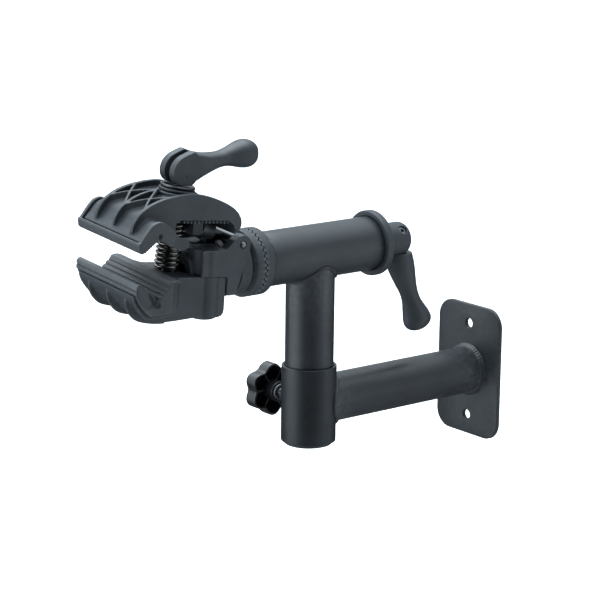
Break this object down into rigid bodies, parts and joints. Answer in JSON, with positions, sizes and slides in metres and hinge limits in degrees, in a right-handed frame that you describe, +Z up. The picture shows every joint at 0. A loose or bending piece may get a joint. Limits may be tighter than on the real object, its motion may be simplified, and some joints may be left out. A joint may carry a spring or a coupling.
{
  "type": "wall-mounted bike repair stand",
  "caption": "Wall-mounted bike repair stand: plate and arm, swivelling post, barrel with toothed head joint and crank handle, and padded quick-release cam clamp jaws.",
  "frame": {"origin": "centre of the wall plate's back face, on the wall plane", "axes": "+Z up; +Y into the wall, the outward normal of the plate's back face; the stand reaches out along -Y; +X to the clamping knob's opposite side"},
  "size_m": [0.1178, 0.4264, 0.318],
  "materials": {
    "powder_coat": "matt textured powder coat, charcoal",
    "weld_bead": "powder-coated weld ripples",
    "moulded_plastic": "glass-filled nylon, fine moulded grain",
    "pad_rubber": "soft matt rubber",
    "zinc_steel": "bright zinc",
    "black_oxide_steel": "black oxide"
  },
  "bodies": {
    "root": {"wall_plate": "powder_coat", "wall_arm": "powder_coat", "arm_plate_weld": "weld_bead", "post_sleeve": "powder_coat", "arm_sleeve_weld": "weld_bead", "knob_boss": "powder_coat"},
    "knob_screw": {"knob_stud": "zinc_steel"},
    "knob": {"star_knob": "moulded_plastic", "knob_insert": "zinc_steel"},
    "post_carrier": {"post_end_cap": "moulded_plastic"},
    "post": {"post_tube": "powder_coat", "post_barrel_weld": "weld_bead", "barrel_tube": "powder_coat", "rear_tooth_ring": "moulded_plastic", "rear_cap": "moulded_plastic"},
    "handle": {"handle_hub": "moulded_plastic", "lock_handle": "moulded_plastic", "handle_screw": "zinc_steel", "handle_nut": "zinc_steel", "thrust_washer": "zinc_steel"},
    "tie": {"tie_rod": "black_oxide_steel"},
    "head": {"front_tooth_ring": "moulded_plastic", "head_housing": "moulded_plastic", "lower_jaw": "moulded_plastic", "lower_pad": "pad_rubber", "hinge_pin": "zinc_steel", "jaw_screw_near": "black_oxide_steel", "jaw_screw_far": "black_oxide_steel"},
    "cross_nut": {"rod_nut": "zinc_steel", "jaw_spring": "black_oxide_steel"},
    "rod": {"clamp_rod": "zinc_steel"},
    "lever": {"cam_lever": "moulded_plastic", "cam_pin": "zinc_steel"},
    "upper": {"upper_jaw": "moulded_plastic", "upper_pad": "pad_rubber", "jaw_link": "black_oxide_steel", "link_nut": "black_oxide_steel", "seat_washer": "moulded_plastic", "cam_washer": "black_oxide_steel"}
  },
  "joints": [
    {"name": "knob_slide", "type": "slide", "parent": "root", "child": "knob_screw", "axis": [-1, 0, 0], "range_m": [0, 0.00375]},
    {"name": "knob_turn", "type": "hinge", "parent": "knob_screw", "child": "knob", "pos_m": [-0.059, -0.203, 0], "axis": [-1, 0, 0], "range_deg": [0, 1080]},
    {"name": "post_height", "type": "slide", "parent": "root", "child": "post_carrier", "axis": [0, 0, 1], "range_m": [-0.022, 0.03]},
    {"name": "post_swivel", "type": "hinge", "parent": "post_carrier", "child": "post", "pos_m": [0, -0.203, 0], "axis": [0, 0, 1], "range_deg": [-120, 120]},
    {"name": "handle_turn", "type": "hinge", "parent": "post", "child": "handle", "pos_m": [0, -0.1, 0.1414], "axis": [0, 1, 0], "range_deg": [0, 540]},
    {"name": "head_release", "type": "slide", "parent": "post", "child": "tie", "axis": [0, -1, 0], "range_m": [0, 0.003]},
    {"name": "head_turn", "type": "hinge", "parent": "tie", "child": "head", "pos_m": [0, -0.3, 0.1414], "axis": [0, 1, 0], "continuous": true},
    {"name": "rod_tilt", "type": "hinge", "parent": "head", "child": "cross_nut", "pos_m": [-0.00105, -0.3656, 0.12945], "axis": [0.9962, 0, -0.0872], "range_deg": [0, 5.4]},
    {"name": "rod_spin", "type": "hinge", "parent": "cross_nut", "child": "rod", "pos_m": [-0.00105, -0.3656, 0.12945], "axis": [0.0867, 0.1037, 0.9908], "continuous": true},
    {"name": "lever_flip", "type": "hinge", "parent": "rod", "child": "lever", "pos_m": [0.00766, -0.35519, 0.22892], "axis": [0.9962, 0, -0.0872], "range_deg": [0, 156]},
    {"name": "jaw_close", "type": "hinge", "parent": "head", "child": "upper", "pos_m": [0.00231, -0.303, 0.1678], "axis": [0.9962, 0, -0.0872], "range_deg": [0, 10.6], "deforming": ["jaw_spring"]}
  ],
  "couplings": [
    {"joint": "knob_slide", "follows": "knob_turn", "m_per_rad": 0.0001989},
    {"joint": "rod_tilt", "follows": "lever_flip", "ratio": 0.034},
    {"joint": "jaw_close", "follows": "lever_flip", "ratio": 0.067}
  ]
}
